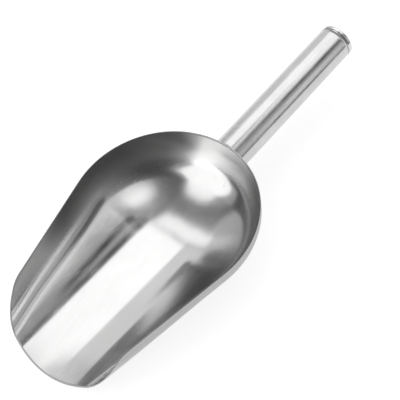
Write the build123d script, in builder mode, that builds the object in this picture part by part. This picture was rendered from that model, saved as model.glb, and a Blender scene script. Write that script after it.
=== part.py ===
"""Ice scoop: a drawn stainless steel bowl, a round tube handle, its end cap and the weld between them.

Millimetres.  +Z is up, +Y runs back towards the handle and the lip faces -Y.  The origin is on the flat
underside of the bowl, below the centre of its round back.
"""

import os
from math import cos, radians, sin, tan

from build123d import *

# ---------------------------------------------------------------- driving dimensions
SHEET = 0.8              # thickness of the drawn sheet
BACK_RADIUS = 48.8       # outside radius of the half-round back, at the rim
SIDE_TAPER = 11.3        # degrees that each side closes in towards the lip
RIM_HEIGHT = 30.0        # rim above the table, at the centre of the round back
RIM_SLOPE = 5.6          # degrees that the rim falls towards the lip
WALL_DRAFT = 4.5         # degrees that the walls lean in towards the floor
FLOOR_BLEND = 13.5       # outside radius between the walls and the floor
FLOOR_CROWN = 68.0       # outside radius of the floor across the bowl
DISH_START = -4.0        # where the floor starts to rise towards the back, as a dish
DISH_RADIUS = 115.0      # outside radius of that dish, seen from the side
FLOOR_FLAT_DEPTH = 0.25  # how much the narrow flat along the underside takes off that radius

LIP_START = 70.0         # along the rim, from the centre of the round back to the lip cut
LIP_ANGLE = 41.2         # degrees between the rim and the lip cut
LIP_CORNER = 12.0        # radius between the rim and the lip cut, seen from the side

TUBE_RADIUS = 9.5        # three-quarter inch tube
TUBE_WALL = 0.8
TUBE_LENGTH = 90.0       # from the back of the bowl to the seam of the cap
TUBE_DROP = 11.8         # axis of the tube below the rim, at the back of the bowl
TUBE_TILT = 3.4          # degrees that the handle rises away from the bowl

CAP_LENGTH = 3.2         # part of the cap outside the tube
CAP_EDGE = 0.8           # radius round the end of the cap
SEAM = 0.35              # depth and width of the step where the cap meets the tube
PLUG_LENGTH = 8.0        # part of the cap inside the tube
PLUG_LEAD = 1.0          # chamfer on the end of that part

WELD_RADIUS = 2.0        # concave radius of the weld round the foot of the handle

# ---------------------------------------------------------------- working room past the finished shape
FRONT_REACH = 120.0      # the raw bowl runs this far forward of the round back's centre
DEPTH_REACH = 60.0       # and this far below the rim
BLOCK_HEIGHT = 60.0      # the raw floor form is this high
DISH_ARC = 50.0          # degrees that the raw dish turns through
OVERLAP = 6.0            # cutters and raw tubes run this far past the faces they meet

# ---------------------------------------------------------------- reference planes
rim_plane = Plane(
    origin=(0, 0, RIM_HEIGHT),
    x_dir=(1, 0, 0),
    z_dir=(0, -sin(radians(RIM_SLOPE)), cos(radians(RIM_SLOPE))),
)
handle_foot = rim_plane.from_local_coords(Vector(0, BACK_RADIUS, -TUBE_DROP))
handle_plane = Plane(
    origin=handle_foot,
    x_dir=(1, 0, 0),
    z_dir=(0, cos(radians(TUBE_TILT)), sin(radians(TUBE_TILT))),
)


def filled_bowl(inset):
    """The bowl as a solid block, with every face moved in by inset, before its lip is cut."""
    taper = radians(SIDE_TAPER)
    radius = BACK_RADIUS - inset
    side_x = radius * cos(taper)
    side_y = -radius * sin(taper)
    front_x = side_x - (FRONT_REACH + side_y) * tan(taper)
    crown = FLOOR_CROWN - inset
    start_plane = Plane(origin=(0, DISH_START, 0), x_dir=(1, 0, 0), z_dir=(0, -1, 0))
    dish_axis = Axis((0, DISH_START, DISH_RADIUS), (1, 0, 0))

    with BuildPart() as floor_form:
        with BuildSketch(start_plane) as floor_section:
            with Locations((0, FLOOR_CROWN - FLOOR_FLAT_DEPTH)):
                Circle(crown)
            with Locations((0, BLOCK_HEIGHT / 2 - OVERLAP)):
                Rectangle(2 * FLOOR_CROWN, BLOCK_HEIGHT, mode=Mode.INTERSECT)
        extrude(amount=FRONT_REACH + OVERLAP)
        revolve(floor_section.sketch, axis=dish_axis, revolution_arc=DISH_ARC)

    with BuildPart() as block:
        with BuildSketch(rim_plane):
            with BuildLine():
                Polyline((side_x, side_y), (front_x, -FRONT_REACH), (-front_x, -FRONT_REACH), (-side_x, side_y))
                ThreePointArc((-side_x, side_y), (0, radius), (side_x, side_y))
            make_face()
        extrude(amount=-DEPTH_REACH, taper=WALL_DRAFT)
        add(floor_form.part, mode=Mode.INTERSECT)
        top_face = block.faces().sort_by(Axis.Z)[-1]
        front_face = block.faces().sort_by(Axis.Y)[0]
        low_edges = block.edges() - top_face.edges() - front_face.edges()
        wall_edges = low_edges.filter_by(GeomType.CIRCLE, reverse=True)
        fillet(wall_edges.filter_by(lambda edge: edge.length > 2 * FLOOR_BLEND), FLOOR_BLEND - inset)
        split(bisect_by=Plane.XY.offset(inset), keep=Keep.TOP)
    return block.part


# ---------------------------------------------------------------- bowl
outer_form = filled_bowl(0)
inner_form = filled_bowl(SHEET)

lip_slope = radians(RIM_SLOPE + LIP_ANGLE)
lip_corner = rim_plane.from_local_coords(Vector(0, -LIP_START, 0))
lip_foot_y = lip_corner.Y - (lip_corner.Z + OVERLAP) / tan(lip_slope)
rim_back = rim_plane.from_local_coords(Vector(0, BACK_RADIUS + OVERLAP, 0))

with BuildPart() as bowl:
    add(outer_form)
    add(inner_form, mode=Mode.SUBTRACT)
    with BuildSketch(Plane.YZ):
        with BuildLine():
            Polyline(
                (rim_back.Y, rim_back.Z),
                (lip_corner.Y, lip_corner.Z),
                (lip_foot_y, -OVERLAP),
                (rim_back.Y, -OVERLAP),
                close=True,
            )
        make_face()
        fillet(vertices().sort_by_distance((lip_corner.Y, lip_corner.Z))[0], LIP_CORNER)
    extrude(amount=BACK_RADIUS + OVERLAP, both=True, mode=Mode.INTERSECT)

# ---------------------------------------------------------------- handle tube
with BuildPart() as handle_tube:
    with BuildSketch(handle_plane.offset(-OVERLAP)):
        Circle(TUBE_RADIUS)
        Circle(TUBE_RADIUS - TUBE_WALL, mode=Mode.SUBTRACT)
    extrude(amount=TUBE_LENGTH + OVERLAP)
    add(outer_form, mode=Mode.SUBTRACT)

# ---------------------------------------------------------------- end cap
cap_plane = handle_plane.offset(TUBE_LENGTH)
handle_axis = Axis(handle_foot, handle_plane.z_dir)

with BuildPart() as end_cap:
    with BuildSketch(cap_plane.offset(-PLUG_LENGTH)):
        Circle(TUBE_RADIUS - TUBE_WALL)
    extrude(amount=PLUG_LENGTH)
    chamfer(end_cap.edges().group_by(handle_axis)[0], PLUG_LEAD)
    with BuildSketch(cap_plane):
        Circle(TUBE_RADIUS - SEAM)
    extrude(amount=SEAM)
    with BuildSketch(cap_plane.offset(SEAM)):
        Circle(TUBE_RADIUS)
    extrude(amount=CAP_LENGTH - SEAM)
    fillet(end_cap.edges().group_by(handle_axis)[-1], CAP_EDGE)

# ---------------------------------------------------------------- weld round the foot of the handle
with BuildPart() as handle_rod:
    with BuildSketch(handle_plane.offset(-OVERLAP)):
        Circle(TUBE_RADIUS)
    extrude(amount=TUBE_LENGTH / 2)

with BuildPart() as handle_weld:
    add(outer_form)
    add(handle_rod.part)
    top_of_foot = handle_plane.from_local_coords(Vector(0, -TUBE_RADIUS, 0))
    fillet(handle_weld.edges().sort_by_distance(top_of_foot)[0], WELD_RADIUS)
    add(outer_form, mode=Mode.SUBTRACT)
    add(handle_rod.part, mode=Mode.SUBTRACT)

# ---------------------------------------------------------------- labels and files
bowl.part.label = "bowl"
handle_tube.part.label = "handle_tube"
end_cap.part.label = "end_cap"
handle_weld.part.label = "handle_weld"

os.makedirs("parts", exist_ok=True)
export_step(bowl.part, "parts/bowl.step")
export_step(handle_tube.part, "parts/handle_tube.step")
export_step(end_cap.part, "parts/end_cap.step")
export_step(handle_weld.part, "parts/handle_weld.step")
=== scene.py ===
"""Ice scoop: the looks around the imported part.

The script's own sizes are in millimetres, and MM turns them into the frame's metres.
"""

from math import cos, pi, radians, sin, sqrt, tan

import bmesh
import bpy
import numpy as np
from mathutils import Matrix, Vector
from mathutils.bvhtree import BVHTree


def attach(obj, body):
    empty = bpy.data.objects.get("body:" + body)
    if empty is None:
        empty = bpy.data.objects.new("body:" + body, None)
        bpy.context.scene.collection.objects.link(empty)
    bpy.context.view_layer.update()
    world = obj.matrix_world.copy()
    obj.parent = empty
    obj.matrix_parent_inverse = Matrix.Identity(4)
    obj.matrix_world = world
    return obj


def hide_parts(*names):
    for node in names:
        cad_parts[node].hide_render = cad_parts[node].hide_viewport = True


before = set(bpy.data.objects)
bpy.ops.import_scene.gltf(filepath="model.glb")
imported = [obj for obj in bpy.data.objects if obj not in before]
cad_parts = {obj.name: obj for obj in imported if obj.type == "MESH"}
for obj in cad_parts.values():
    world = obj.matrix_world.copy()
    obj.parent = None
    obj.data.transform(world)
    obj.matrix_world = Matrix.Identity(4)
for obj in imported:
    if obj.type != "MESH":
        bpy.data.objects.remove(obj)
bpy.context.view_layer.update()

MM = 0.001

# ---------------------------------------------------------------- bowl: outline, lip and dish, as in CAD
SHEET = 0.8              # thickness of the drawn sheet
BACK_RADIUS = 48.8       # outside radius of the half-round back, at the rim
SIDE_TAPER = radians(11.3)
RIM_HEIGHT = 30.0
RIM_SLOPE = radians(5.6)
WALL_DRAFT = radians(4.5)
DISH_START = -4.0        # along the bowl, where the floor starts to rise towards the back
DISH_RADIUS = 115.0      # radius of that dish, seen from the side
LIP_START = 70.0         # along the rim, from the centre of the round back to the lip cut
LIP_ANGLE = radians(41.2)
LIP_CORNER = 12.0
LIP_LIMIT = 105.0        # the tip of the lip lies before this, along the side

# ---------------------------------------------------------------- bowl: floor and edge, finer than in CAD
BLEND_FRONT = 13.5       # outside radius between the walls and the floor, at the lip
BLEND_BACK = 20.0        # and round the back
FLOOR_MIDDLE = 58.0      # radius across the middle of the floor
FLANK_START = 18.0       # from the middle to where the flatter flanks begin
FLANK_FRONT = 75.0       # radius across the flanks at the lip
FLANK_BACK = 110.0       # and at the round back
GROW_START = -75.0       # along the bowl, where the blend and the flanks start to grow
BLEND_GROWTH = 60.0      # length over which the blend grows
FLANK_GROWTH = 75.0      # and the flanks
EDGE_ROUND = 0.15        # rounding of the sheet's cut edge

# ---------------------------------------------------------------- shape of the handle
TUBE_RADIUS = 9.5
TUBE_WALL = 0.8
TUBE_LENGTH = 90.0
TUBE_DROP = 11.8
TUBE_TILT = radians(3.4)
CAP_LENGTH = 3.2
CAP_EDGE = 0.8
CAP_BEVEL = 0.1          # broken edge of the cap beside the seam
SEAM = 0.35
PLUG_LENGTH = 8.0
PLUG_LEAD = 1.0
FOOT_LOOK = 20.0         # the search for the wall starts this far from it, along the handle's axis

# ---------------------------------------------------------------- weld round the foot of the handle
WELD_RADIUS = 2.0
WELD_SLOW = 0.05         # slow changes of its size round the handle, as a share of it
WELD_QUICK = 0.04        # and quick ones
WELD_FILL = 0.12         # how far the middle of the bead stands out from a plain hollow fillet
WELD_RIPPLE = 0.035      # and its ripples
WELD_RIPPLES = 46
WELD_SWAY = 1.2          # radians by which the ripples crowd and spread
WELD_SINK = 0.05         # how far its two edges lie inside the tube and the wall
WELD_ROOT_OUT = 0.6      # how far its hidden root reaches out, as a share of its size
WELD_ROOT_UP = 0.8       # and along the tube

# ---------------------------------------------------------------- marks of the weld inside the wall
MARK_COUNT = 10
MARK_TURN = 0.3          # radians from the top of the handle to the first
MARK_RING = 11.6         # their distance from the handle's axis
MARK_WANDER = 0.5        # and how much it varies
MARK_SIZE = 0.55
MARK_UNEVEN = 0.25       # share of that size by which they differ
MARK_STRETCH = 1.3       # width over height of a mark
MARK_HEIGHT = 0.09
MARK_SINK = 0.03         # how far the edge of a mark lies inside the wall
MARK_ROOT = 0.1          # and its hidden point

# ---------------------------------------------------------------- camera
CAMERA_AIM = (1.58, 24.63, 15.0)
CAMERA_DISTANCE = 706.2
CAMERA_TURN = radians(48.10)
CAMERA_RISE = radians(52.02)
CAMERA_ROLL = radians(-9.93)
CAMERA_LENS = 126.3

# ---------------------------------------------------------------- meshes
MERGE_DISTANCE = 0.0005  # points closer than this become one
SLIVER = 0.0002          # and edges shorter than this are removed
EDGE_STEPS = 420         # stations along the free edge, from the tip round to the tip again
PROFILE_STEPS = 150      # points from the free edge to the spine, on each face of the sheet
ROUND_STEPS = 4          # steps in each rounding of the cut edge
TUBE_STEPS = 128         # points round the handle
TUBE_ROWS = 60           # rows along its outside
BORE_ROWS = 20           # and along its bore
CAP_STEPS = 9            # points in the rounding of the cap
WELD_STEPS = 13          # points across the bead
MARK_RINGS = 5           # rings in a mark
MARK_POINTS = 16         # points round each ring

# ---------------------------------------------------------------- points before they are spaced evenly
SETTLING_ROUNDS = 8      # substitutions that find the floor's depth
FLOOR_POINTS = 700       # across the floor of a section
BLEND_POINTS = 90        # round its blend
WALL_POINTS = 200        # down its wall
TIP_POINTS = 400         # along the lip, to find its tip
ROUGH_POINTS = 120       # round the back and along the side, and again along the lip

# ---------------------------------------------------------------- studio
FLOOR_REACH = 3000.0     # half the width of the white table
FLOOR_DROP = 0.1         # and how far it lies under the scoop
FLOOR_TONE = 0.38
FLOOR_GLOW = 0.76
CLOTH_CORNERS = (160, -300), (1200, -300), (1200, 900), (160, 300)
CLOTH_LIFT = 0.4         # how far the dark cloth lies over the table
CLOTH_TONE = 0.15
ROOM_DARK = 0.1          # brightness of the room in front of the scoop
ROOM_PALE = 0.6          # and behind it
ROOM_TURN = -0.3, 0.6    # where it changes, as the Y part of a direction
ROOM_SEEN = 0.95         # its brightness where the camera sees it
CARD_FAR = 14            # distances of the cards, in metres: nearer ones hang before farther ones
CARD_BACK = 8
CARD_MIDDLE = 7
CARD_FRONT = 5.5
CARD_NEAR = 5

# ---------------------------------------------------------------- finish of the bowl, its painted highlights and shade, and where they change
WALL_OUT = 14, 32        # from the middle to the side walls
WALL_HIGH = 6, 20        # from the floor to the walls, for their rougher finish and their painted shade and highlight
WALL_RISE = 13, 19       # and for how rough
WALL_FRONT = -52, -24    # along the bowl, from the front of the walls, brightened by a painted highlight, to their matt part, darkened by painted shade
REAR_OUT = 13, 24        # from the middle to where the painted highlight on the back wall ends
DISH_RISE = -6, 12       # along the bowl, where the floor turns rougher towards its dish
FACE_TURN = -2, 2        # from the inside of a wall to its outside
PAINTED_SHADE_WALL = 0.48         # tone of the side walls, as a share of the floor's: painted shade
PAINTED_SHADE_OUTSIDE = 0.7       # and of their outsides, also painted shade
PAINTED_SHADE_CUT = 0.45          # tone of the cut edge on the inside: a painted shade line
PAINTED_HIGHLIGHT_CUT = 1.4         # and on the outside: a painted highlight
PAINTED_HIGHLIGHT_WALL = 1.35       # tone of the front of the walls and of the back wall: a painted highlight

# ---------------------------------------------------------------- finish of every piece
CAP_WORN = 8.2, 9.2      # from the handle's axis to the cap's worn edge
NOISE_MIDDLE = 0.3, 0.7  # the part of a noise that is spread over a whole range
NOISE_WIDE = 0.25, 0.75  # and a wider part, for softer changes
NOISE_PEAKS = 0.66, 0.74
NEUTRAL = 1.0, 0.999, 0.996
STRAW = 1.0, 0.985, 0.95


# ================================================================ frames
def from_rim(points):
    """Points given as across, along and below the rim plane, in the part's frame."""
    across, along, below = points[..., 0], points[..., 1], points[..., 2]
    return np.stack(
        [
            across,
            along * cos(RIM_SLOPE) + below * sin(RIM_SLOPE),
            RIM_HEIGHT + along * sin(RIM_SLOPE) - below * cos(RIM_SLOPE),
        ],
        axis=-1,
    )


handle_foot = Vector(from_rim(np.array([0.0, BACK_RADIUS, TUBE_DROP])))
handle_dir = Vector((0, cos(TUBE_TILT), sin(TUBE_TILT)))
handle_up = Vector((0, -sin(TUBE_TILT), cos(TUBE_TILT)))


def from_handle(radius, turn, along):
    """Points round the handle: turn runs from its top towards +X, along is measured from its foot."""
    side = np.multiply.outer(radius * np.sin(turn), np.array([1.0, 0, 0]))
    up = np.multiply.outer(radius * np.cos(turn), np.array(handle_up))
    out = np.multiply.outer(along, np.array(handle_dir))
    return np.array(handle_foot) + side + up + out


# ================================================================ meshes
def add_mesh(name, points, faces, node, wear_and_painted_edge_light=None):
    """A smooth piece on the root body, from points in millimetres, in place of a CAD node if one is given.

    The edge values tell the sheet's cut edge: 1 where it gets a painted highlight, -1 where it gets a
    painted shade line and a rougher finish.
    """
    mesh = bpy.data.meshes.new(name)
    mesh.from_pydata([tuple(p) for p in np.asarray(points) * MM], [], faces)
    if wear_and_painted_edge_light is not None:
        mesh.attributes.new("edge", "FLOAT", "POINT").data.foreach_set("value", wear_and_painted_edge_light)
    piece = bpy.data.objects.new(name, mesh)
    bpy.context.scene.collection.objects.link(piece)
    work = bmesh.new()
    work.from_mesh(mesh)
    bmesh.ops.remove_doubles(work, verts=work.verts, dist=MERGE_DISTANCE * MM)
    bmesh.ops.dissolve_degenerate(work, edges=work.edges, dist=SLIVER * MM)
    bmesh.ops.recalc_face_normals(work, faces=work.faces)
    work.to_mesh(mesh)
    work.free()
    mesh.shade_smooth()
    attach(piece, "root")
    if node:
        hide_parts(node)
    return piece


def grid_faces(rows, columns, wrap_rows=False, wrap_columns=False):
    """Quads over a grid of points stored row by row."""
    faces = []
    for row in range(rows if wrap_rows else rows - 1):
        for column in range(columns if wrap_columns else columns - 1):
            here, there = row * columns, (row + 1) % rows * columns
            after = (column + 1) % columns
            faces.append((here + column, here + after, there + after, there + column))
    return faces


# ================================================================ bowl
def lip_depth(along):
    """How far below the rim plane the free edge lies, at each place along the bowl."""
    reach = LIP_CORNER * tan(LIP_ANGLE / 2)
    start = -LIP_START + reach
    arc_end = -LIP_START - reach * cos(LIP_ANGLE)
    on_arc = np.clip(along, arc_end, start) - start
    arc = LIP_CORNER - np.sqrt(LIP_CORNER**2 - on_arc**2)
    line = (-LIP_START - along) * tan(LIP_ANGLE)
    return np.where(along < arc_end, line, arc)


def floor_height(across, along):
    """Height of the underside: a rounded middle, flatter flanks either side, and a dish at the back."""
    out = np.abs(across)
    grown = np.clip((along - GROW_START) / FLANK_GROWTH, 0, 1)
    flank = FLANK_FRONT + (FLANK_BACK - FLANK_FRONT) * grown
    edge = np.minimum(out, FLANK_START)
    rise = FLOOR_MIDDLE - np.sqrt(FLOOR_MIDDLE**2 - edge**2)
    slope = FLANK_START / sqrt(FLOOR_MIDDLE**2 - FLANK_START**2)
    past = out - edge
    rise = rise + slope * past + past**2 / (2 * flank)
    back = np.maximum(along - DISH_START, 0)
    return rise + DISH_RADIUS - np.sqrt(DISH_RADIUS**2 - back**2)


def floor_depth(across, along, inset):
    """Depth below the rim plane of the floor, found by repeated substitution."""
    below = np.full_like(across, RIM_HEIGHT)
    for _ in range(SETTLING_ROUNDS):
        y = along * cos(RIM_SLOPE) + below * sin(RIM_SLOPE)
        z = inset + floor_height(across, y)
        below = (RIM_HEIGHT + along * sin(RIM_SLOPE) - z) / cos(RIM_SLOPE)
    return below


def outline(reach):
    """Outline point, inward direction and distance to the spine.

    Reach is 0 where the round back meets the side, negative round the back and positive along the side.
    """
    forward = np.maximum(reach, 0)
    angle = -SIDE_TAPER - np.minimum(reach, 0) / BACK_RADIUS
    outward = np.stack([np.cos(angle), np.sin(angle)], axis=-1)
    point = BACK_RADIUS * outward - forward[:, None] * np.array([sin(SIDE_TAPER), cos(SIDE_TAPER)])
    return point, -outward, BACK_RADIUS - forward * tan(SIDE_TAPER)


def section(width, spot, inset):
    """Wall, blend and floor of one section, as distance in from the outline and depth below the rim."""
    grown = np.clip((spot(np.zeros(1))[0, 1] - GROW_START) / BLEND_GROWTH, 0, 1)
    blend = BLEND_FRONT + (BLEND_BACK - BLEND_FRONT) * grown**2 * (3 - 2 * grown) - inset
    inward = np.linspace(0, width, FLOOR_POINTS)
    path = spot(inward)
    below = floor_depth(path[:, 0], path[:, 1], inset)
    slope = np.gradient(below, inward)
    norm = np.sqrt(1 + slope**2)
    centre_in = inward + blend * slope / norm
    centre_down = below - blend / norm
    gap = (centre_in - inset) * cos(WALL_DRAFT) - centre_down * sin(WALL_DRAFT) - blend
    touch = np.interp(0, gap, inward)
    middle_in = np.interp(touch, inward, centre_in)
    middle_down = np.interp(touch, inward, centre_down)
    last_turn = np.arctan2(1, np.interp(touch, inward, slope))
    turn = np.linspace(WALL_DRAFT, last_turn, BLEND_POINTS)
    arc = np.stack([middle_in - blend * np.cos(turn), middle_down + blend * np.sin(turn)], axis=-1)
    wall_down = np.linspace(-RIM_HEIGHT, arc[0, 1], WALL_POINTS, endpoint=False)
    wall = np.stack([inset + wall_down * tan(WALL_DRAFT), wall_down], axis=-1)
    on_floor = inward > touch
    flat = np.stack([inward[on_floor], below[on_floor]], axis=-1)
    return np.concatenate([wall, arc, flat])


def trimmed(reach, inset):
    """One section from the free edge to the spine, as evenly spaced points in the rim frame."""
    point, inwards, width = (value[0] for value in outline(np.array([reach])))
    line = section(width, lambda inward: point + inward[:, None] * inwards, inset)
    spots = point + line[:, :1] * inwards
    path = np.concatenate([spots, line[:, 1:]], axis=1)
    edge = lip_depth(path[:, 1])
    steep = np.gradient(edge, path[:, 1])
    spare = path[:, 2] - edge - EDGE_ROUND * np.sqrt(1 + steep**2)
    if spare[-1] <= 0:
        return np.repeat(path[-1:], PROFILE_STEPS, axis=0)
    first = len(spare) - int(np.argmax(spare[::-1] <= 0)) - 1
    share = spare[first] / (spare[first] - spare[first + 1])
    start = path[first] + share * (path[first + 1] - path[first])
    path = np.concatenate([start[None], path[first + 1:]])
    travelled = np.concatenate([[0], np.cumsum(np.linalg.norm(np.diff(path, axis=0), axis=1))])
    wanted = np.linspace(0, travelled[-1], PROFILE_STEPS)
    return np.stack([np.interp(wanted, travelled, path[:, axis]) for axis in range(3)], axis=-1)


def last_reach(inset):
    """The reach at which the section has shrunk to the tip of the lip."""
    reach = np.linspace(LIP_START, LIP_LIMIT, TIP_POINTS)
    along = -reach / cos(SIDE_TAPER)
    edge = lip_depth(along)
    steep = np.gradient(edge, along)
    spare = floor_depth(np.zeros_like(along), along, inset) - edge - EDGE_ROUND * np.sqrt(1 + steep**2)
    return np.interp(0, -spare, reach)


def stations(inset):
    """Reaches from the middle of the back to the tip, evenly spaced along the free edge."""
    back = -BACK_RADIUS * (pi / 2 + SIDE_TAPER)
    lip = LIP_START - LIP_CORNER
    round_lip = np.linspace(lip, last_reach(0), ROUGH_POINTS)[1:]
    rough = np.concatenate([np.linspace(back, lip, ROUGH_POINTS), round_lip])
    edge = np.array([trimmed(reach, 0)[0] for reach in rough])
    travelled = np.concatenate([[0], np.cumsum(np.linalg.norm(np.diff(edge, axis=0), axis=1))])
    reach = np.interp(np.linspace(0, travelled[-1], EDGE_STEPS // 2 + 1), travelled, rough)
    beyond = np.maximum(reach - lip, 0) * (last_reach(inset) - lip) / (last_reach(0) - lip)
    return np.minimum(reach, lip) + beyond


def bowl_rows():
    """One row of points per station: inside from spine to edge, round the cut edge, then the outside."""
    inner = np.array([trimmed(reach, SHEET)[::-1] for reach in stations(SHEET)])
    outer = np.array([trimmed(reach, 0) for reach in stations(0)])
    inner_edge, outer_edge = inner[:, -1], outer[:, 0]
    along = (inner_edge[:, 1] + outer_edge[:, 1]) / 2
    step = 0.05
    steep = (lip_depth(along + step) - lip_depth(along - step)) / (2 * step)
    norm = np.sqrt(1 + steep**2)
    out = np.stack([np.zeros_like(steep), steep / norm, -1 / norm], axis=-1)
    across = outer_edge - inner_edge
    across = across / np.linalg.norm(across, axis=1)[:, None]
    turns = np.linspace(0, pi / 2, ROUND_STEPS + 1)[1:]
    rounding = [inner_edge + EDGE_ROUND * (out * sin(turn) + across * (1 - cos(turn))) for turn in turns]
    for turn in turns[::-1]:
        rounding.append(outer_edge + EDGE_ROUND * (out * sin(turn) - across * (1 - cos(turn))))
    return from_rim(np.concatenate([inner, np.stack(rounding, axis=1), outer], axis=1))


def make_bowl():
    half = bowl_rows()
    other = half[::-1] * np.array([-1, 1, 1])
    rows = np.concatenate([half, other[1:-1]])
    faces = grid_faces(len(rows), rows.shape[1], wrap_rows=True)
    column = np.arange(rows.shape[1]) - (rows.shape[1] - 1) / 2
    # 1 on the outer rounding of the cut edge, for a painted highlight; -1 on the inner rounding, for a
    # painted shade line and a rougher finish
    wear_and_painted_edge_light = np.clip(1 - (np.abs(column) - ROUND_STEPS) / 2, 0, 1) * np.where(column < 1, -1, 1)
    wear_and_painted_edge_light = np.tile(wear_and_painted_edge_light, len(rows))
    return add_mesh("scoop_bowl", rows.reshape(-1, 3), faces, "bowl", wear_and_painted_edge_light)


# ================================================================ handle
def foot_reach(radius, turn):
    """How far along the handle, at each turn round it, the outside of the bowl lies."""
    result = []
    for angle in turn:
        start = from_handle(np.array([radius]), np.array([angle]), np.array([FOOT_LOOK]))[0]
        hit = bowl_shape.ray_cast(Vector(start) * MM, -handle_dir)
        result.append(FOOT_LOOK - hit[3] / MM)
    return np.array(result)


def make_tube():
    turn = np.linspace(0, 2 * pi, TUBE_STEPS, endpoint=False)
    foot = foot_reach(TUBE_RADIUS, turn) - SHEET / 2
    outside = (TUBE_RADIUS, np.linspace(0, 1, TUBE_ROWS))
    inside = (TUBE_RADIUS - TUBE_WALL, np.linspace(1, 0, BORE_ROWS))
    rows = []
    for radius, shares in (outside, inside):
        for share in shares:
            along = foot + share * (TUBE_LENGTH - foot)
            rows.append(from_handle(np.full_like(turn, radius), turn, along))
    rows = np.array(rows)
    faces = grid_faces(len(rows), TUBE_STEPS, wrap_rows=True, wrap_columns=True)
    return add_mesh("scoop_handle", rows.reshape(-1, 3), faces, "handle_tube")


def lathe(name, outline_points, node):
    """A closed turned piece on the handle's axis, from (distance along, radius) points."""
    turn = np.linspace(0, 2 * pi, TUBE_STEPS, endpoint=False)
    rows = []
    for along, radius in outline_points:
        rows.append(from_handle(np.full_like(turn, radius), turn, np.full_like(turn, along)))
    rows = np.array(rows)
    faces = grid_faces(len(rows), TUBE_STEPS, wrap_columns=True)
    return add_mesh(name, rows.reshape(-1, 3), faces, node)


def make_cap():
    bore = TUBE_RADIUS - TUBE_WALL
    end = TUBE_LENGTH + CAP_LENGTH
    edge = [
        (end - CAP_EDGE + CAP_EDGE * sin(angle), TUBE_RADIUS - CAP_EDGE + CAP_EDGE * cos(angle))
        for angle in np.linspace(0, pi / 2, CAP_STEPS)
    ]
    shape = [
        (TUBE_LENGTH - PLUG_LENGTH, 0),
        (TUBE_LENGTH - PLUG_LENGTH, bore - PLUG_LEAD),
        (TUBE_LENGTH - PLUG_LENGTH + PLUG_LEAD, bore),
        (TUBE_LENGTH, bore),
        (TUBE_LENGTH, TUBE_RADIUS - SEAM),
        (TUBE_LENGTH + SEAM, TUBE_RADIUS - SEAM),
        (TUBE_LENGTH + SEAM, TUBE_RADIUS - CAP_BEVEL),
        (TUBE_LENGTH + SEAM + CAP_BEVEL, TUBE_RADIUS),
        *edge,
        (end, 0),
    ]
    return lathe("scoop_cap", shape, "end_cap")


def make_weld():
    """The bead round the foot of the handle, a hollow fillet with faint ripples."""
    turn = np.linspace(0, 2 * pi, 3 * TUBE_STEPS, endpoint=False)
    inside = np.full_like(turn, TUBE_RADIUS)
    foot = foot_reach(TUBE_RADIUS, turn)
    bead = WELD_RADIUS * (1 + WELD_SLOW * np.sin(3 * turn + 1) + WELD_QUICK * np.sin(7 * turn))
    ripple = WELD_RIPPLE * np.sin(WELD_RIPPLES * turn + WELD_SWAY * np.sin(5 * turn))
    on_wall = np.array([foot_reach(TUBE_RADIUS + size, [angle])[0] for size, angle in zip(bead, turn)])
    high = from_handle(inside - WELD_SINK, turn, foot + bead)
    corner = from_handle(inside, turn, foot)
    low = from_handle(inside + bead, turn, on_wall - WELD_SINK)
    rows = []
    for share in np.linspace(0, 1, WELD_STEPS):
        along_arc = (1 - share) ** 2 * high + 2 * share * (1 - share) * corner + share**2 * low
        bulge = (WELD_FILL + ripple)[:, None] * 4 * share * (1 - share)
        away = (high + low) / 2 - corner
        rows.append(along_arc + bulge * away / np.linalg.norm(away, axis=1)[:, None])
    rows.append(from_handle(inside + bead * WELD_ROOT_OUT, turn, foot - SHEET / 2))
    rows.append(from_handle(inside - TUBE_WALL / 2, turn, foot - SHEET / 2))
    rows.append(from_handle(inside - TUBE_WALL / 2, turn, foot + bead * WELD_ROOT_UP))
    faces = grid_faces(len(rows), len(turn), wrap_rows=True, wrap_columns=True)
    return add_mesh("scoop_weld", np.array(rows).reshape(-1, 3), faces, "handle_weld")


def mark_points(place, normal, size):
    """One shallow dome on the wall, ring by ring from its top, and then its hidden point."""
    side = normal.cross(handle_up).normalized()
    up = side.cross(normal)
    points = []
    for ring in range(MARK_RINGS):
        fall = ring / (MARK_RINGS - 1) * pi / 2
        for step in range(MARK_POINTS):
            around = 2 * pi * step / MARK_POINTS
            across = side * cos(around) * sin(fall) * size * MARK_STRETCH
            offset = across + up * sin(around) * sin(fall) * size
            points.append(place + offset + normal * (MARK_HEIGHT * cos(fall) - MARK_SINK))
    return points + [place - normal * MARK_ROOT]


def make_weld_marks():
    """The faint marks that the weld leaves on the inside of the wall, as a ring of shallow domes."""
    points, faces = [], []
    last_ring = (MARK_RINGS - 1) * MARK_POINTS
    for angle in np.linspace(0, 2 * pi, MARK_COUNT, endpoint=False) + MARK_TURN:
        radius = MARK_RING + MARK_WANDER * sin(3 * angle)
        start = from_handle(np.array([radius]), np.array([angle]), np.array([-FOOT_LOOK]))[0]
        place, normal, _, _ = bowl_shape.ray_cast(Vector(start) * MM, handle_dir)
        normal = normal if normal.dot(handle_dir) < 0 else -normal
        first = len(points)
        points += mark_points(place / MM, normal, MARK_SIZE * (1 + MARK_UNEVEN * sin(5 * angle)))
        for face in grid_faces(MARK_RINGS, MARK_POINTS, wrap_columns=True):
            faces.append(tuple(first + corner for corner in face))
        for step in range(MARK_POINTS):
            here, after = first + last_ring + step, first + last_ring + (step + 1) % MARK_POINTS
            faces.append((here, after, first + last_ring + MARK_POINTS))
    return add_mesh("scoop_weld_marks", points, faces, None)


bowl_piece = make_bowl()
bowl_shape = BVHTree.FromPolygons(
    [vertex.co for vertex in bowl_piece.data.vertices],
    [face.vertices for face in bowl_piece.data.polygons],
)
tube_piece = make_tube()
cap_piece = make_cap()
weld_piece = make_weld()
marks_piece = make_weld_marks()


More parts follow.
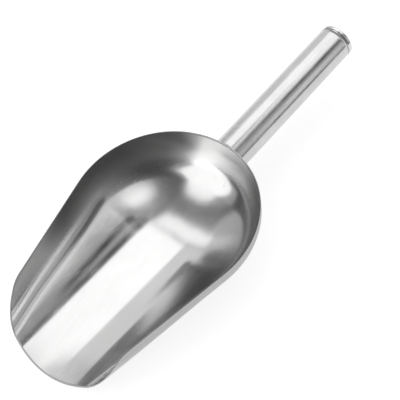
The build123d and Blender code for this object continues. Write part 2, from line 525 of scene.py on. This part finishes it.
# ================================================================ camera
def make_camera():
    level_part = cos(CAMERA_RISE)
    ahead = -Vector((sin(CAMERA_TURN) * level_part, -cos(CAMERA_TURN) * level_part, sin(CAMERA_RISE)))
    level = ahead.cross(Vector((0, 0, 1))).normalized()
    upright = level.cross(ahead)
    right = level * cos(CAMERA_ROLL) + upright * sin(CAMERA_ROLL)
    up = right.cross(ahead)
    camera = bpy.data.objects.new("camera", bpy.data.cameras.new("camera"))
    place = Vector(CAMERA_AIM) * MM - ahead * CAMERA_DISTANCE * MM
    camera.matrix_world = Matrix.Translation(place) @ Matrix((right, up, -ahead)).transposed().to_4x4()
    camera.data.lens = CAMERA_LENS
    camera.data.sensor_width = 36
    camera.data.clip_start = 0.01
    camera.data.clip_end = 20
    bpy.context.scene.collection.objects.link(camera)
    bpy.context.scene.camera = camera


make_camera()


# ================================================================ floor and light
def add_staging(name, points, seen_by_steel_only=False):
    """One flat face that belongs to the studio, from points in metres, and its rough material."""
    mesh = bpy.data.meshes.new(name)
    mesh.from_pydata(points, [], [range(len(points))])
    sheet = bpy.data.objects.new(name, mesh)
    bpy.context.scene.collection.objects.link(sheet)
    if seen_by_steel_only:
        sheet.visible_camera = False
        sheet.visible_shadow = False
        sheet.visible_diffuse = False
    material = bpy.data.materials.new(name)
    material.use_nodes = True
    mesh.materials.append(material)
    return sheet, material.node_tree.nodes["Principled BSDF"]


def add_floor():
    reach = FLOOR_REACH * MM
    floor, shader = add_staging(
        "floor", [(-reach, -reach, 0), (reach, -reach, 0), (reach, reach, 0), (-reach, reach, 0)])
    floor.location = (0, 0, -FLOOR_DROP * MM)
    shader.inputs["Base Color"].default_value = (FLOOR_TONE, FLOOR_TONE, FLOOR_TONE, 1)
    shader.inputs["Roughness"].default_value = 0.9
    shader.inputs["Specular IOR Level"].default_value = 0.2
    shader.inputs["Emission Color"].default_value = (1, 1, 1, 1)
    shader.inputs["Emission Strength"].default_value = FLOOR_GLOW


def add_cloth():
    """A dark cloth on the table, for a thin line on the handle.  Only the steel sees it."""
    corners = [(x * MM, y * MM, CLOTH_LIFT * MM) for x, y in CLOTH_CORNERS]
    _, shader = add_staging("table_line", corners, seen_by_steel_only=True)
    shader.inputs["Base Color"].default_value = (CLOTH_TONE, CLOTH_TONE, CLOTH_TONE, 1)
    shader.inputs["Roughness"].default_value = 1


def sky_place(east, north):
    """A direction from the zenith: degrees towards +X and degrees towards +Y."""
    tip = radians(np.hypot(east, north))
    return Vector((sin(tip) * east, sin(tip) * north, cos(tip) * np.hypot(east, north))).normalized()


def add_card(name, brightness, distance, corners):
    """A flat shape hung far off over the scoop, from corners in degrees east and north of the zenith.

    It glows with the given brightness, or is black at 0 and then only the steel sees it.
    """
    card, shader = add_staging(
        name, [sky_place(*corner) * distance for corner in corners], seen_by_steel_only=True)
    card.visible_diffuse = brightness > 0
    shader.inputs["Base Color"].default_value = (0.02, 0.02, 0.02, 1)
    shader.inputs["Roughness"].default_value = 1
    shader.inputs["Emission Color"].default_value = (1, 1, 1, 1)
    shader.inputs["Emission Strength"].default_value = brightness


def add_room():
    """A plain room, darker in front of the scoop than behind it."""
    world = bpy.data.worlds.new("studio")
    bpy.context.scene.world = world
    world.use_nodes = True
    nodes, links = world.node_tree.nodes, world.node_tree.links
    place = nodes.new("ShaderNodeTexCoord")
    parts = nodes.new("ShaderNodeSeparateXYZ")
    links.new(place.outputs["Generated"], parts.inputs[0])
    behind = nodes.new("ShaderNodeMapRange")
    behind.interpolation_type = "SMOOTHSTEP"
    links.new(parts.outputs["Y"], behind.inputs["Value"])
    behind.inputs["From Min"].default_value, behind.inputs["From Max"].default_value = ROOM_TURN
    behind.inputs["To Min"].default_value, behind.inputs["To Max"].default_value = ROOM_DARK, ROOM_PALE
    seen = nodes.new("ShaderNodeLightPath")
    mix = nodes.new("ShaderNodeMix")
    links.new(seen.outputs["Is Camera Ray"], mix.inputs["Factor"])
    links.new(behind.outputs[0], mix.inputs["A"])
    mix.inputs["B"].default_value = ROOM_SEEN
    links.new(mix.outputs["Result"], nodes["Background"].inputs["Strength"])
    nodes["Background"].inputs["Color"].default_value = (1, 1, 1, 1)


def add_back_cards():
    """The lights behind the scoop, seen in its floor and on the handle."""
    add_card("back_white", 1.55, CARD_MIDDLE, [
        (-38, 46), (24, 46), (21, 27), (17, 22.4), (4, 22.1), (4, 14),
        (0, 10), (-3, 6), (-16, 5), (-40, 7), (-56, 11), (-58, 18), (-46, 17), (-38, 16)])
    add_card("back_grey", 0.93, CARD_MIDDLE, [
        (-76, 46), (-38, 46), (-38, 16), (-46, 17), (-58, 18),
        (-56, 11), (-64, 11), (-74, 14), (-74, 20), (-78, 28)])
    add_card("low_grey", 0.55, CARD_BACK, [(-50, 1), (-68, -4), (-76, 12), (-50, 9)])


def add_east_cards():
    """The lights to the right, seen in the left half of the bowl."""
    add_card("east_spot", 1.9, CARD_MIDDLE, [(12, 1), (16, 2), (20, 9), (19, 15), (13, 14), (11, 7)])
    add_card("east_grey", 0.95, CARD_BACK, [
        (13, 3), (18, 3), (23, 12), (29, 24), (26, 29), (19, 23.5), (14, 16)])
    add_card("east_blob", 0.85, CARD_BACK, [(28, 19), (36, 21), (38, 25), (30, 22.5)])
    add_card("east_streak", 1.4, CARD_MIDDLE, [
        (56, 30), (66, 32.5), (76, 37), (76, 42), (66, 37), (56, 34)])


def add_front_cards():
    """The light in front, seen in the round back of the bowl, with a dimmer halo behind it."""
    add_card("front_white", 1.5, CARD_MIDDLE, [
        (-29, -7), (-20, -6), (-7, -6), (-1, -9), (2, -17), (10, -25), (19, -31),
        (21, -42), (12, -66), (-45, -66), (-52, -45), (-47, -30), (-36, -14)])
    add_card("front_low", 1.9, CARD_MIDDLE, [(14, -66), (18, -85), (-60, -85), (-45, -66)])
    add_card("front_halo", 0.42, CARD_FAR, [
        (-50, -6), (-20, -4), (0, -7), (10, -17), (28, -36),
        (31, -60), (31, -84), (-62, -84), (-60, -30)])


def add_strips():
    """The black and grey strips that draw the streaks on the floor, the handle and the side walls."""
    add_card("streak_near", 0, CARD_NEAR, [(4.5, 17.2), (6.6, 17.2), (7.2, 22), (5, 22)])
    add_card("streak_far", 0, CARD_NEAR, [(8.6, 17.2), (11, 17.2), (11.8, 22), (9.4, 22)])
    add_card("handle_grey", 0.9, CARD_BACK, [(16, 22.4), (25, 22.8), (29, 30), (36, 46), (20, 46)])
    add_card("handle_dark", 0.1, CARD_NEAR, [
        (28, 22.8), (41, 24), (44, 31), (54, 48), (36, 48), (30, 30)])
    add_card("streak_end", 0, CARD_NEAR, [(6, 17.2), (9, 17.2), (9, 17.9), (6, 17.9)])
    add_card("streak_low", 0, CARD_NEAR, [(4, 14), (7.5, 14), (7.5, 16.2), (4, 16.2)])
    add_card("gap", 0.7, CARD_FRONT, [
        (-62, 16.8), (-62, 19.5), (-44, 17.0), (-20, 14.0),
        (2, 13.8), (2, 12.0), (-20, 11.7), (-44, 14.6)])
    add_card("side_dark", 0.2, CARD_FRONT, [
        (-52, 24.6), (-56, 24.2), (-61, 26.2), (-76, 27.2), (-78, 30), (-62, 29.5), (-52, 26.5)])
    add_card("side_low_dark", 0.2, CARD_FRONT, [
        (-61, 18.3), (-61.5, 23.6), (-78, 24.6), (-78, 19), (-68, 17.3)])


add_floor()
add_room()
add_cloth()
add_back_cards()
add_east_cards()
add_front_cards()
add_strips()


# ================================================================ steel
def set_inputs(node, **values):
    for name, value in values.items():
        node.inputs[name.replace("_", " ")].default_value = value


class Steel:
    """A procedural steel: fine grain, cloudy polish, edges brighter from wear, and painted highlights and
    shade, built up in steps.
    """

    def __init__(self, name):
        self.material = bpy.data.materials.new(name)
        self.material.use_nodes = True
        self.nodes = self.material.node_tree.nodes
        self.links = self.material.node_tree.links
        self.shader = self.nodes["Principled BSDF"]
        self.shader.inputs["Metallic"].default_value = 1
        source = self.nodes.new("ShaderNodeTexCoord")
        self.place = source.outputs["Object"]
        self.normal = source.outputs["Normal"]

    def scaled(self, scale, shift=(0, 0, 0), turn=(0, 0, 0)):
        """The place, turned and then stretched, so that a noise over it has grains of a chosen shape."""
        mapping = self.nodes.new("ShaderNodeMapping")
        self.links.new(self.place, mapping.inputs["Vector"])
        set_inputs(mapping, Scale=scale, Location=shift, Rotation=turn)
        return mapping.outputs["Vector"]

    def noise(self, vector, detail=2.0, distortion=0.0):
        texture = self.nodes.new("ShaderNodeTexNoise")
        self.links.new(vector, texture.inputs["Vector"])
        set_inputs(texture, Scale=1.0, Detail=detail, Distortion=distortion)
        return texture.outputs[0]

    def ranged(self, value, low_in, high_in, low_out, high_out, smooth=False):
        node = self.nodes.new("ShaderNodeMapRange")
        node.interpolation_type = "SMOOTHSTEP" if smooth else "LINEAR"
        self.links.new(value, node.inputs["Value"])
        set_inputs(node, From_Min=low_in, From_Max=high_in, To_Min=low_out, To_Max=high_out)
        return node.outputs[0]

    def spread(self, noise, low, high, span=NOISE_MIDDLE):
        """A value from low to high, over the given part of a noise."""
        return self.ranged(noise, span[0], span[1], low, high)

    def zone(self, value, span, low=0, high=1):
        """A smooth step from low to high, where a coordinate crosses a span given in millimetres."""
        return self.ranged(value, span[0] * MM, span[1] * MM, low, high, True)

    def math(self, operation, *values):
        node = self.nodes.new("ShaderNodeMath")
        node.operation = operation
        for socket, value in zip(node.inputs, values):
            if isinstance(value, (int, float)):
                socket.default_value = value
            else:
                self.links.new(value, socket)
        return node.outputs[0]

    def times(self, *values):
        return self.math("MULTIPLY", *values)

    def plus(self, value, mask, amount):
        """The value with an amount added where the mask is 1."""
        return self.math("MULTIPLY_ADD", mask, amount, value)

    def shaded(self, value, mask, factor):
        """The value times a factor where the mask is 1."""
        return self.times(value, self.ranged(mask, 0, 1, 1, factor))

    def axis(self, name, vector=None):
        node = self.nodes.new("ShaderNodeSeparateXYZ")
        self.links.new(vector or self.place, node.inputs[0])
        return node.outputs[name]

    def edge(self):
        """The sheet's cut edge, as make_bowl stores it: 1 for a painted highlight, -1 for a painted shade
        line.
        """
        node = self.nodes.new("ShaderNodeAttribute")
        node.attribute_name = "edge"
        return node.outputs["Fac"]

    def colour(self, value, tint):
        node = self.nodes.new("ShaderNodeCombineColor")
        for channel, share in zip(node.inputs, tint):
            self.links.new(self.times(value, share), channel)
        self.links.new(node.outputs[0], self.shader.inputs["Base Color"])

    def rough(self, value):
        self.links.new(value, self.shader.inputs["Roughness"])

    def bump(self, heights, distance=0.00002, strength=0.5):
        """Bumps one over the other, from pairs of a height and its share of the distance in metres."""
        previous = None
        for height, share in heights:
            node = self.nodes.new("ShaderNodeBump")
            set_inputs(node, Distance=distance * share, Strength=strength)
            self.links.new(height, node.inputs["Height"])
            if previous:
                self.links.new(previous, node.inputs["Normal"])
            previous = node.outputs["Normal"]
        self.links.new(previous, self.shader.inputs["Normal"])


def bowl_steel():
    """Polished along the bowl, with fine rubbed scratches.

    The side walls are rougher and darkened by painted shade, but satin and brightened by a painted
    highlight at the front.  The back wall is brightened by a painted highlight as well.
    """
    steel = Steel("bowl_steel_polished")
    grain = steel.noise(steel.scaled((5200, 90, 5200)), 3)
    clouds = steel.noise(steel.scaled((60, 35, 60)), 3, 0.6)
    rubs = steel.noise(steel.scaled((2600, 130, 900), turn=(0, 0, radians(24))), 2)
    out = steel.math("ABSOLUTE", steel.axis("X"))

    walls = steel.times(steel.zone(out, WALL_OUT), steel.zone(steel.axis("Z"), WALL_HIGH))
    facing = steel.times(steel.axis("X"), steel.axis("X", steel.normal))
    inside = steel.times(walls, steel.ranged(facing, FACE_TURN[0] * MM, FACE_TURN[1] * MM, 1, 0))
    outside = steel.times(walls, steel.ranged(facing, FACE_TURN[0] * MM, FACE_TURN[1] * MM, 0, 1))
    front = steel.zone(steel.axis("Y"), WALL_FRONT, 1, 0)
    # the inside of the side walls behind their front: rougher, and darkened by painted shade
    dull_and_painted_shade = steel.times(inside, steel.ranged(front, 0, 1, 1, 0))
    # the front of the walls: satin, and brightened by a painted highlight
    satin = steel.times(inside, front)
    wall = steel.zone(steel.axis("Z"), WALL_RISE)
    # the middle of the back wall, high up: where a painted highlight goes
    back_wall_highlight = steel.times(steel.zone(out, REAR_OUT, 1, 0), wall)

    tone = steel.spread(clouds, 0.6, 0.65)
    tone = steel.times(tone, steel.spread(grain, 0.96, 1.04, NOISE_WIDE))
    # painted shade: the inside of the side walls darker, standing in for the dark reflections there
    tone = steel.shaded(tone, dull_and_painted_shade, PAINTED_SHADE_WALL)
    # painted shade: the outsides of the side walls darker, to dim what they reflect
    tone = steel.shaded(tone, outside, PAINTED_SHADE_OUTSIDE)
    # painted highlight: the front of the walls and the middle of the back wall brighter, standing in for
    # bright reflections
    tone = steel.shaded(tone, steel.math("MAXIMUM", back_wall_highlight, satin), PAINTED_HIGHLIGHT_WALL)
    # painted shade: a dark line on the inner rounding of the cut edge, which is also rougher
    tone = steel.times(tone, steel.ranged(steel.edge(), -1, 0, PAINTED_SHADE_CUT, 1))
    # painted highlight: a bright line on the outer rounding of the cut edge
    tone = steel.shaded(tone, steel.edge(), PAINTED_HIGHLIGHT_CUT)
    steel.colour(tone, NEUTRAL)

    rough = steel.spread(clouds, 0.06, 0.1)
    rough = steel.plus(rough, steel.spread(grain, 0, 1), 0.03)
    rough = steel.plus(rough, steel.spread(rubs, 0, 1, NOISE_PEAKS), 0.12)
    rough = steel.plus(rough, steel.math("ADD", dull_and_painted_shade, outside), 0.10)
    rough = steel.plus(rough, satin, 0.26)
    rough = steel.plus(rough, wall, 0.2)
    rough = steel.plus(rough, steel.zone(steel.axis("Y"), DISH_RISE), 0.06)
    rough = steel.plus(rough, steel.ranged(steel.edge(), -1, 0, 1, 0), 0.2)
    steel.rough(rough)
    steel.bump([(grain, 0.15), (rubs, 0.1), (clouds, 1.6)])
    return steel.material


def handle_steel():
    """Satin tube: fine rings from the polishing belt and faint draw lines along it."""
    steel = Steel("handle_steel_satin")
    turn = (-TUBE_TILT, 0, 0)
    rings = steel.noise(steel.scaled((60, 5200, 60), turn=turn), 3)
    lines = steel.noise(steel.scaled((2400, 25, 2400), turn=turn), 2)
    clouds = steel.noise(steel.scaled((90, 60, 90)), 3, 0.5)
    tone = steel.spread(clouds, 0.55, 0.62)
    tone = steel.times(tone, steel.spread(rings, 0.93, 1.06, NOISE_WIDE))
    tone = steel.times(tone, steel.spread(lines, 0.95, 1.04, NOISE_WIDE))
    steel.colour(tone, NEUTRAL)
    rough = steel.spread(clouds, 0.12, 0.2)
    steel.rough(steel.plus(rough, steel.spread(rings, 0, 1), 0.06))
    steel.bump([(rings, 0.3), (lines, 0.2), (clouds, 2.0)])
    return steel.material


def cap_steel():
    """Turned end: rings about the handle's axis, with a worn, brighter rounded edge."""
    steel = Steel("cap_steel_turned")
    centre = from_handle(np.zeros(1), np.zeros(1), np.array([TUBE_LENGTH]))[0] * MM
    place = steel.scaled((1, 1, 1), shift=tuple(-centre))
    across = steel.math("POWER", steel.axis("X", place), 2.0)
    height = steel.math("POWER", steel.axis("Z", place), 2.0)
    from_axis = steel.math("SQRT", steel.math("ADD", across, height))
    ring_place = steel.nodes.new("ShaderNodeCombineXYZ")
    steel.links.new(steel.times(from_axis, 9000.0), ring_place.inputs[0])
    steel.links.new(steel.times(steel.axis("Y", place), 3000.0), ring_place.inputs[1])
    rings = steel.noise(ring_place.outputs[0], 2)
    clouds = steel.noise(steel.scaled((120, 120, 120)), 3, 0.5)
    wear_and_painted_edge_light = steel.zone(from_axis, CAP_WORN)
    tone = steel.spread(clouds, 0.58, 0.65)
    tone = steel.times(tone, steel.spread(rings, 0.92, 1.06, NOISE_WIDE))
    steel.colour(steel.plus(tone, wear_and_painted_edge_light, 0.05), NEUTRAL)
    rough = steel.spread(rings, 0.16, 0.26)
    steel.rough(steel.plus(rough, wear_and_painted_edge_light, -0.05))
    steel.bump([(rings, 0.5), (clouds, 2.0)])
    return steel.material


def weld_steel():
    """Dressed weld: uneven, a little straw-tinted, with rubbed high spots."""
    steel = Steel("weld_steel_dressed")
    lumps = steel.noise(steel.scaled((900, 900, 900)), 4, 0.8)
    clouds = steel.noise(steel.scaled((220, 220, 220)), 3)
    tone = steel.spread(lumps, 0.48, 0.62)
    tone = steel.times(tone, steel.spread(clouds, 0.92, 1.05))
    steel.colour(tone, STRAW)
    steel.rough(steel.spread(lumps, 0.34, 0.18))
    steel.bump([(lumps, 4.0)])
    return steel.material


bowl_finish = bowl_steel()
bowl_piece.data.materials.append(bowl_finish)
marks_piece.data.materials.append(bowl_finish)
tube_piece.data.materials.append(handle_steel())
cap_piece.data.materials.append(cap_steel())
weld_piece.data.materials.append(weld_steel())

bpy.context.scene.view_settings.view_transform = "Standard"
